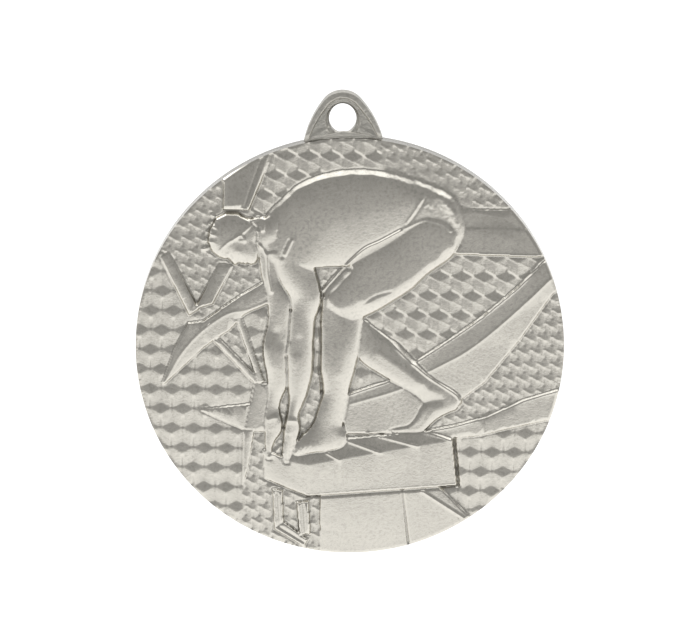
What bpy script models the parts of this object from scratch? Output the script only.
"""A struck swimming medal, as a person who scripts Blender would model it.

The medal is a disc with a relief on its obverse, a hanging lug brazed into the top of its edge, and a thin
engraving plate that an adhesive disc holds in a round seat in the reverse. Metres, +Z up. The obverse faces
-Y, and the origin is the middle of the lug's hole, from which the medal hangs.
"""

from math import atan2, ceil, cos, hypot, pi, radians, sin

import bmesh
import bpy
from mathutils import Vector

MM = 0.001

# Driving dimensions, in metres
DISC_DIAMETER = 50.0 * MM
RIM_THICKNESS = 2.0 * MM
EDGE_ROUNDING = 0.15 * MM
RELIEF_HEIGHT = 1.2 * MM  # the highest point of the relief above the rim's face
FIT_GAP = 0.05 * MM  # between pieces that are brazed, pressed or stuck together

HOLE_WIDTH = 3.2 * MM
HOLE_HEIGHT = 3.7 * MM
HOLE_CHAMFER = 0.3 * MM
HOLE_ABOVE_EDGE = 2.2 * MM  # from the disc's edge to the middle of the hole
LUG_CROWN_RADIUS = 2.8 * MM
LUG_CROWN_ABOVE_HOLE = 0.45 * MM
LUG_FLANK_TURN = radians(40)  # above level, where the crown's arc runs into the flatter arc of a flank
LUG_FOOT_WIDTH = 9.0 * MM
LUG_SETBACK = 0.3 * MM  # the lug's front lies this far behind the rim's face
LUG_ROUNDING = 0.25 * MM
TONGUE_WIDTH = 4.0 * MM
TONGUE_DEPTH = 1.4 * MM
TONGUE_SHOULDER = 0.4 * MM  # the lug's stock in front of the tongue, and behind it

LAND_WIDTH = 5.0 * MM  # the flat ring around the seat in the reverse
PLATE_THICKNESS = 0.5 * MM
PLATE_EDGE_BREAK = 0.08 * MM
ADHESIVE_THICKNESS = 0.1 * MM
ADHESIVE_INSET = 0.5 * MM  # the adhesive stops short of the plate's edge

# The die's artwork is drawn in millimetres on a disc of this radius, and grows with the real disc
ARTWORK_RADIUS = 25.0
ARTWORK_HEIGHT = 1.2  # the drawn height of the relief's highest point
ARTWORK_TURN = radians(2.8)  # clockwise, seen from the front
CUBE_PITCH = 2.59
CUBE_ROW = 2.34
CUBE_CAP = 0.7  # half the height of a cube's top facet
FIRST_CUBE = (1.1, -0.7)  # the middle of the top facet of the cube nearest the disc's centre
CUBE_RELIEF = 0.18 * MM
ARTWORK_TRIM = 0.3 * MM  # the artwork stops this far inside the edge

# What follows from them
disc_radius = DISC_DIAMETER / 2
disc_centre_z = -(disc_radius + HOLE_ABOVE_EDGE)
back_y = RIM_THICKNESS / 2
rim_face_y = -RIM_THICKNESS / 2
blank_face_y = rim_face_y + 1.25 * CUBE_RELIEF  # just under the cubes' lowest points
relief_root_y = rim_face_y + 2 * CUBE_RELIEF
field_root_y = rim_face_y + 3 * CUBE_RELIEF
artwork_scale = disc_radius / ARTWORK_RADIUS  # metres of disc for each drawn millimetre
height_scale = RELIEF_HEIGHT / ARTWORK_HEIGHT  # and metres of relief
seat_radius = disc_radius - LAND_WIDTH
seat_depth = ADHESIVE_THICKNESS + PLATE_THICKNESS + 2 * FIT_GAP
lug_front_y = rim_face_y + LUG_SETBACK
lug_thickness = back_y - lug_front_y
lug_middle_y = (back_y + lug_front_y) / 2
tongue_thickness = lug_thickness - 2 * TONGUE_SHOULDER

LUG_ROOT = 1 * MM  # how far the lug's stock runs into the disc before the saddle is cut

DISC_STEPS = 120
ROUND_STEPS = 40
CROWN_STEPS = 14
FLANK_STEPS = 6
LIMB_STEPS = 8


def clear_scene():
    for ob in list(bpy.data.objects):
        bpy.data.objects.remove(ob)


def finish(name, colour, roughness, metallic=1):
    made = bpy.data.materials.new(name)
    made.use_nodes = True
    surface = made.node_tree.nodes["Principled BSDF"]
    surface.inputs["Base Color"].default_value = (*colour, 1)
    surface.inputs["Metallic"].default_value = metallic
    surface.inputs["Roughness"].default_value = roughness
    return made


def place(name, bm, parent=None, material=None):
    """Turns a bmesh into an object whose faces point out."""
    bmesh.ops.recalc_face_normals(bm, faces=bm.faces)
    mesh = bpy.data.meshes.new(name)
    bm.to_mesh(mesh)
    bm.free()
    mesh.shade_smooth()
    mesh.set_sharp_from_angle(angle=radians(30))
    ob = bpy.data.objects.new(name, mesh)
    bpy.context.scene.collection.objects.link(ob)
    ob.parent = parent
    if material:
        mesh.materials.append(material)
    return ob


def guide(name, bm, parent=None):
    """A shape that only joins or cuts another."""
    ob = place(name, bm, parent)
    ob.hide_render = True
    ob.display_type = "WIRE"
    return ob


def combine(target, operation, *tools):
    for tool in tools:
        step = target.modifiers.new(tool.name, "BOOLEAN")
        step.operation = operation
        step.solver = "EXACT"
        step.object = tool


def turned(profile, steps):
    """A solid of revolution about Y, from (radius, y) points that start and end on the axis."""
    bm = bmesh.new()
    verts = [bm.verts.new((radius, y, 0)) for radius, y in profile]
    edges = [bm.edges.new(pair) for pair in zip(verts, verts[1:])]
    bmesh.ops.spin(
        bm, geom=verts + edges, cent=(0, 0, 0), axis=(0, 1, 0), angle=2 * pi, steps=steps, use_merge=True
    )
    bmesh.ops.remove_doubles(bm, verts=bm.verts, dist=0.001 * MM)
    return bm


def cylinder(radius, y_front, y_back, steps=DISC_STEPS):
    return turned([(0, y_front), (radius, y_front), (radius, y_back), (0, y_back)], steps)


def prism(outline, y_front, y_back):
    """A closed (x, z) outline, extruded along Y."""
    bm = bmesh.new()
    face = bm.faces.new([bm.verts.new((x, y_front, z)) for x, z in outline])
    grown = bmesh.ops.extrude_face_region(bm, geom=[face])
    moved = [item for item in grown["geom"] if isinstance(item, bmesh.types.BMVert)]
    bmesh.ops.translate(bm, verts=moved, vec=(0, y_back - y_front, 0))
    return bm


def rounded(ob, width, segments=2):
    bevel = ob.modifiers.new("rounding", "BEVEL")
    bevel.width = width
    bevel.segments = segments
    bevel.limit_method = "ANGLE"
    bevel.angle_limit = radians(40)


# The artwork: each point is (x, z, height), with x and z in millimetres on the drawn disc, and the height
# above the rim's face in the drawing's own millimetres, of which ARTWORK_HEIGHT make the whole relief


def art_point(x, z, height):
    return Vector((x * artwork_scale, rim_face_y - height * height_scale, z * artwork_scale))


def rooted(bm, root_y):
    """Extrudes a relief surface's open edge down into the disc and closes it there."""
    border = [edge for edge in bm.edges if edge.is_boundary]
    grown = bmesh.ops.extrude_edge_only(bm, edges=border)
    new_verts = [item for item in grown["geom"] if isinstance(item, bmesh.types.BMVert)]
    for vert in new_verts:
        vert.co.y = root_y
    bmesh.ops.contextual_create(bm, geom=[edge for edge in bm.edges if edge.is_boundary])
    return bm


def cube_field():
    """Rows of stacked cubes: each has a dark top facet and two side facets that meet at its raised corner."""
    bm = bmesh.new()
    known = {}

    def corner(x, z, level):
        key = (round(x, 3), round(z, 3))
        if key not in known:
            known[key] = bm.verts.new(art_point(x, z, level * CUBE_RELIEF / height_scale))
        return known[key]

    half, side = CUBE_PITCH / 2, CUBE_ROW - CUBE_CAP
    reach = ARTWORK_RADIUS + CUBE_ROW
    rows = ceil(reach / CUBE_ROW)
    columns = ceil(reach / CUBE_PITCH)
    for row in range(-rows, rows + 1):
        for column in range(-columns, columns + 1):
            x = FIRST_CUBE[0] + column * CUBE_PITCH + (row % 2) * half
            z = FIRST_CUBE[1] + row * CUBE_ROW
            if hypot(x, z) > reach:
                continue
            left, right = corner(x - half, z, 0), corner(x + half, z, 0)
            back, near = corner(x, z + CUBE_CAP, -1), corner(x, z - CUBE_CAP, 1)
            foot = corner(x, z - CUBE_ROW, 0)
            low_left, low_right = corner(x - half, z - side, -1), corner(x + half, z - side, -1)
            bm.faces.new((left, near, right, back))
            bm.faces.new((left, low_left, foot, near))
            bm.faces.new((right, near, foot, low_right))
    return rooted(bm, field_root_y)


def panel(*rows):
    """A raised surface lofted through rows of points, each row with as many points as the next."""
    bm = bmesh.new()
    grid = [[bm.verts.new(art_point(*point)) for point in row] for row in rows]
    for upper, lower in zip(grid, grid[1:]):
        for a, b, c, d in zip(upper, upper[1:], lower[1:], lower):
            bm.faces.new((a, b, c, d))
    return rooted(bm, relief_root_y)


def limb(*stations):
    """A rounded limb through (x, z, half width, crown) stations, half an ellipse at each."""
    bm = bmesh.new()
    rings = []
    for number, (x, z, half_width, crown) in enumerate(stations):
        before, after = stations[max(number - 1, 0)], stations[min(number + 1, len(stations) - 1)]
        along = Vector((after[0] - before[0], after[1] - before[1])).normalized()
        ring = []
        for step in range(LIMB_STEPS + 1):
            turn = pi * step / LIMB_STEPS
            across, height = half_width * cos(turn), crown * sin(turn)
            ring.append(bm.verts.new(art_point(x - along.y * across, z + along.x * across, height)))
        foot = [ring[-1].co.copy(), ring[0].co.copy()]
        for point in foot:
            point.y = relief_root_y
            ring.append(bm.verts.new(point))
        rings.append(ring)
    for ring, following in zip(rings, rings[1:]):
        for n in range(len(ring)):
            m = (n + 1) % len(ring)
            bm.faces.new((ring[n], ring[m], following[m], following[n]))
    bm.faces.new(rings[0])
    bm.faces.new(rings[-1])
    return bm


def dome(x, z, radius_x, radius_z, crown, turn):
    """Half an ellipsoid, rooted in the disc."""
    bm = bmesh.new()
    bmesh.ops.create_uvsphere(bm, u_segments=20, v_segments=10, radius=1)
    for vert in bm.verts:
        across, along, up = vert.co
        px = x + (across * cos(turn) - along * sin(turn)) * radius_x
        pz = z + (across * sin(turn) + along * cos(turn)) * radius_z
        height = crown * up if up > 0 else 0
        vert.co = art_point(px, pz, height)
        if up < -0.01:
            vert.co.y += (relief_root_y - rim_face_y) * -up
    return bm


def lug_outline():
    """The lug from the front, about its hole: a round crown that runs into flatter flanks."""
    foot_x, foot_z = LUG_FOOT_WIDTH / 2, -HOLE_ABOVE_EDGE - LUG_CROWN_ABOVE_HOLE
    join_x, join_z = cos(LUG_FLANK_TURN), sin(LUG_FLANK_TURN)
    # The flank's arc is tangent to the crown where they join, and passes through the foot
    foot_along = foot_x * join_x + foot_z * join_z
    reach = (hypot(foot_x, foot_z) ** 2 - LUG_CROWN_RADIUS**2) / (2 * (LUG_CROWN_RADIUS - foot_along))
    flank_radius = LUG_CROWN_RADIUS + reach
    low_turn = atan2(foot_z - LUG_ROOT + reach * join_z, foot_x + reach * join_x)
    right = []
    for step in range(FLANK_STEPS):
        turn = low_turn + (LUG_FLANK_TURN - low_turn) * step / FLANK_STEPS
        right.append((flank_radius * cos(turn) - reach * join_x, flank_radius * sin(turn) - reach * join_z))
    crown = []
    for step in range(CROWN_STEPS + 1):
        turn = LUG_FLANK_TURN + (pi - 2 * LUG_FLANK_TURN) * step / CROWN_STEPS
        crown.append((LUG_CROWN_RADIUS * cos(turn), LUG_CROWN_RADIUS * sin(turn)))
    left = [(-x, z) for x, z in reversed(right)]
    return [(x, z + LUG_CROWN_ABOVE_HOLE) for x, z in right + crown + left]


def tongue(gap):
    """The tongue under the lug, or with a gap the pocket in the disc's edge that takes it."""
    half, low = TONGUE_WIDTH / 2 + gap, -HOLE_ABOVE_EDGE - TONGUE_DEPTH - gap
    high = -HOLE_ABOVE_EDGE + LUG_ROOT
    outline = [(-half, low), (half, low), (half, high), (-half, high)]
    reach = tongue_thickness / 2 + gap
    return prism(outline, lug_middle_y - reach, lug_middle_y + reach)


def hole():
    """The oval hole, with a chamfer at both its lips."""
    inner, outer = HOLE_WIDTH / 2, HOLE_WIDTH / 2 + 2 * HOLE_CHAMFER
    front, back = lug_front_y - HOLE_CHAMFER, back_y + HOLE_CHAMFER
    profile = [
        (0, front),
        (outer, front),
        (inner, lug_front_y + HOLE_CHAMFER),
        (inner, back_y - HOLE_CHAMFER),
        (outer, back),
        (0, back),
    ]
    bm = turned(profile, ROUND_STEPS)
    bmesh.ops.scale(bm, verts=bm.verts, vec=(1, 1, HOLE_HEIGHT / HOLE_WIDTH))
    return bm


def relief(die):
    """The artwork: the field of cubes, and everything that stands on it, trimmed to the disc."""
    stock = guide("relief_stock", cube_field(), die)
    shapes = {**field_bands(), **starting_block(), **swimmer()}
    combine(stock, "UNION", *(guide(name, bm, die) for name, bm in shapes.items()))
    trim_front = rim_face_y - 2 * RELIEF_HEIGHT
    trim = cylinder(disc_radius - ARTWORK_TRIM, trim_front, 0)
    combine(stock, "INTERSECT", guide("relief_trim", trim, die))
    return stock


def field_bands():
    """The smooth bands and ribbons that cross the field."""
    low, mid, high = 0.22, 0.3, 0.5
    return {
        "upper_wedge": panel(
            [(-15.2, 26, low), (-8.6, 26, low)],
            [(-15, 16.7, low), (-12.1, 16.8, low)],
        ),
        "left_bar": panel(
            [(-22.4, 10.6, mid), (-21.3, 11.2, mid)],
            [(-18.6, 3.6, mid), (-17.7, 4.2, mid)],
        ),
        "head_bar": panel(
            [(-15.2, 9.6, mid), (-13.9, 9.6, mid)],
            [(-18.2, 4.3, mid), (-16.2, 4.8, mid)],
        ),
        "left_ribbon": panel(
            [(-21.7, -4.7, low), (-20.2, -0.1, low), (-18.8, 2.6, low), (-15, 4.5, low), (-9.5, 8, low)],
            [
                (-21.6, -4.8, low), (-19.6, -1.1, high), (-17.5, 1.5, high), (-14.4, 3.8, high), (-9.5, 6.4, high),
            ],
            [(-21.5, -4.7, low), (-18.6, -1.7, low), (-16.3, 0.3, low), (-13.6, 3, low), (-9.5, 5.1, low)],
        ),
        "outer_spoke": panel(
            [(-15.9, 0.5, mid), (-15.2, 0.9, mid)],
            [(-10.6, -5, mid), (-10, -4.5, mid)],
        ),
        "inner_spoke": panel(
            [(-13.6, 3.1, mid), (-12.8, 3.3, mid)],
            [(-10.6, -4.6, mid), (-9.8, -4.4, mid)],
        ),
        "left_spike": panel(
            [(-16.9, -7.8, low), (-11.5, -7.3, mid)],
            [(-16.9, -8, low), (-11.5, -10.5, mid)],
        ),
        "left_column": panel(
            [(-11.6, -4.6, low), (-9.8, -4.6, low)],
            [(-12.1, -10.3, low), (-9.6, -10.3, low)],
            [(-12.2, -16.8, low), (-9.6, -16.8, low)],
        ),
        "right_ribbon": panel(
            [
                (0, -5.4, low), (4.5, -4, low), (10, -0.1, low), (15.2, 3.8, low), (22.2, 10.9, low), (26, 15, low),
            ],
            [
                (0, -6.5, high), (6, -4.9, high), (12.4, -1.1, high), (16, 1.7, high), (22.9, 8.4, high),
                (27, 13, high),
            ],
            [
                (0, -9.9, low), (8.8, -9.5, low), (13.3, -6.3, low), (17.7, -1.6, low), (23.3, 6.5, low),
                (28, 12, low),
            ],
        ),
        "lower_right_band": panel(
            [(9, -9.9, low), (13.6, -9, low), (20.4, -6.1, low), (26, -4.5, low)],
            [(11.6, -10.9, mid), (15, -10.7, mid), (18.5, -9.9, mid), (26, -8, mid)],
        ),
        "upper_right_band": panel(
            [(12.3, 16.7, mid), (26, 16.7, mid)],
            [(12.3, 14.6, low), (26, 14.3, low)],
            [(12.3, 14.5, mid), (26, 14.2, mid)],
            [(11.5, 11.5, low), (26, 11.1, low)],
        ),
    }


def starting_block():
    top, edge, face, end = 0.35, 0.85, 0.65, 0.3
    return {
        "block_body": panel(
            [(-6.8, -12.6, top), (9, -10, top)],
            [(-4.85, -14.45, edge), (12.4, -11, edge)],
            [(-4.7, -18.6, face), (13.1, -16.6, face)],
        ),
        "block_end": panel(
            [(-9.9, -12.8, end), (-6.8, -12.7, top), (-4.75, -14.45, edge)],
            [(-9.7, -16.5, end), (-7, -17.6, end), (-4.6, -18.6, face)],
        ),
        "block_base": panel(
            [(-4.4, -18.3, top), (10.2, -17.1, top)],
            [(-4.4, -26, top), (21.3, -26, top)],
        ),
        "left_bracket_bar": panel(
            [(-8.7, -17.6, face), (-7.6, -18, face)],
            [(-8.4, -22.2, face), (-7.3, -21.4, face)],
        ),
        "lower_bracket_bar": panel(
            [(-8.4, -22, face), (-7.3, -21.3, face)],
            [(-5.2, -23.9, face), (-5, -22.6, face)],
        ),
        "right_bracket_bar": panel(
            [(-5.9, -19.2, face), (-4.3, -19, face)],
            [(-5.4, -23.8, face), (-4.1, -23.6, face)],
        ),
    }


def swimmer():
    """A swimmer bent over the block, hands and toes at its edge, with a capped head and a plain face."""
    return {
        "far_arm": limb(
            (-9.3, 9, 0.7, 0.5), (-8.8, 6, 1.2, 0.55), (-8.4, 3, 1.3, 0.55), (-8.6, 0, 1.4, 0.5),
            (-8.5, -3, 1.2, 0.5), (-8.7, -6, 0.9, 0.45), (-9, -8.5, 0.7, 0.4), (-9.1, -11, 0.8, 0.4),
            (-9.2, -13.5, 0.4, 0.3),
        ),
        "far_leg": limb(
            (1, 1.7, 1.5, 0.5), (3.3, 0, 2, 0.65), (5.6, -1.9, 1.9, 0.65), (8, -3.8, 1.5, 0.55),
            (10.4, -5.6, 1.3, 0.5), (12.4, -6.8, 0.6, 0.4),
        ),
        "far_foot": limb(
            (12, -6.8, 0.6, 0.4), (10.6, -7.3, 1, 0.5), (8.9, -8.4, 0.9, 0.45), (7.4, -9.2, 0.6, 0.35),
            (5.3, -9.8, 0.3, 0.25),
        ),
        "torso": limb(
            (12.6, 13.6, 1.5, 0.6), (10.8, 15.1, 3, 0.95), (7.6, 16.4, 4.1, 1.1), (4, 16.8, 4.5, 1.15),
            (0.4, 16.3, 4.9, 1.17), (-3.2, 14.8, 5, 1.17), (-6.2, 12.9, 4.5, 1.1), (-8.6, 11.6, 3, 0.8),
        ),
        "thigh": limb(
            (11.9, 12.6, 1.4, 0.7), (9.8, 12.5, 2.9, 1), (7.4, 11.4, 3.6, 1.15), (4.8, 9.8, 3.6, 1.19),
            (1.8, 7.7, 3.3, 1.19), (-0.6, 5.9, 2.7, 1.12), (-2.2, 4.7, 1.5, 0.8),
        ),
        "shin": limb(
            (-1.4, 6, 1.5, 0.9), (-1.4, 3, 2.2, 1.12), (-1.2, 0, 2.25, 1.1), (-1.3, -2.8, 2, 1),
            (-1.6, -5.6, 1.7, 0.95), (-2.1, -8.4, 1.6, 0.9), (-2.2, -10.8, 1.5, 0.8),
        ),
        "foot": limb(
            (0, -10.8, 0.7, 0.6), (-1.6, -10.9, 1.5, 0.85), (-3.6, -11.3, 1.3, 0.9), (-5.3, -12.1, 0.9, 0.8),
            (-6.5, -12.7, 0.4, 0.6),
        ),
        "near_arm": limb(
            (-7, 12.2, 1.6, 0.8), (-6.4, 9.5, 2.2, 1.1), (-5.5, 6, 1.9, 1.15), (-5.6, 3.2, 1.5, 1.05),
            (-5.7, 0.3, 1.5, 1), (-5.8, -2, 1.6, 0.95), (-5.9, -5, 1.1, 0.8), (-6.3, -7.8, 0.8, 0.7),
            (-6.4, -9.4, 0.9, 0.7), (-6.6, -11.6, 0.8, 0.65), (-6.9, -13.6, 0.4, 0.5),
        ),
        "neck": limb((-8.2, 13.4, 2.2, 0.8), (-9.8, 13.4, 1.9, 0.8), (-11.8, 13, 1.9, 0.7)),
        "cap": dome(-13.8, 13.1, 3, 3.2, 1, radians(20)),
        "face": dome(-12.4, 10.9, 2, 2.5, 0.8, radians(-25)),
    }


def build():
    clear_scene()
    struck_silver = finish("struck_silver", (0.62, 0.6, 0.56), 0.3)
    lug_silver = finish("lug_silver", (0.58, 0.56, 0.52), 0.42)
    brushed = finish("brushed_aluminium", (0.78, 0.79, 0.8), 0.3)
    tape = finish("adhesive_tape", (0.85, 0.84, 0.8), 0.6, 0)

    disc_centre = bpy.data.objects.new("disc_centre", None)
    disc_centre.location.z = disc_centre_z
    die = bpy.data.objects.new("die", None)
    die.parent = disc_centre
    die.rotation_euler.y = ARTWORK_TURN
    for empty in (disc_centre, die):
        bpy.context.scene.collection.objects.link(empty)

    blank = [
        (0, blank_face_y),
        (disc_radius - EDGE_ROUNDING, blank_face_y),
        (disc_radius, blank_face_y + EDGE_ROUNDING),
        (disc_radius, back_y - EDGE_ROUNDING),
        (disc_radius - EDGE_ROUNDING, back_y),
        (seat_radius, back_y),
        (seat_radius, back_y - seat_depth),
        (0, back_y - seat_depth),
    ]
    disc = place("medal_disc", turned(blank, DISC_STEPS), disc_centre, struck_silver)
    pocket = guide("tongue_pocket", tongue(FIT_GAP))
    combine(disc, "UNION", relief(die))
    combine(disc, "DIFFERENCE", pocket)

    lug = place("hanging_lug", prism(lug_outline(), lug_front_y, back_y), None, lug_silver)
    rounded(lug, LUG_ROUNDING)
    saddle = cylinder(disc_radius + FIT_GAP, lug_front_y - LUG_ROOT, back_y + LUG_ROOT)
    combine(lug, "DIFFERENCE", guide("lug_saddle", saddle, disc_centre), guide("lug_hole", hole()))
    combine(lug, "UNION", guide("lug_tongue", tongue(0)))

    plate_front_y = back_y - PLATE_THICKNESS
    plate_radius = seat_radius - FIT_GAP
    plate = [
        (0, plate_front_y),
        (plate_radius, plate_front_y),
        (plate_radius, back_y - PLATE_EDGE_BREAK),
        (plate_radius - PLATE_EDGE_BREAK, back_y),
        (0, back_y),
    ]
    place("reverse_plate", turned(plate, DISC_STEPS), disc_centre, brushed)
    tape_back_y = plate_front_y - FIT_GAP
    tape_shape = cylinder(plate_radius - ADHESIVE_INSET, tape_back_y - ADHESIVE_THICKNESS, tape_back_y)
    place("adhesive_disc", tape_shape, disc_centre, tape)


build()
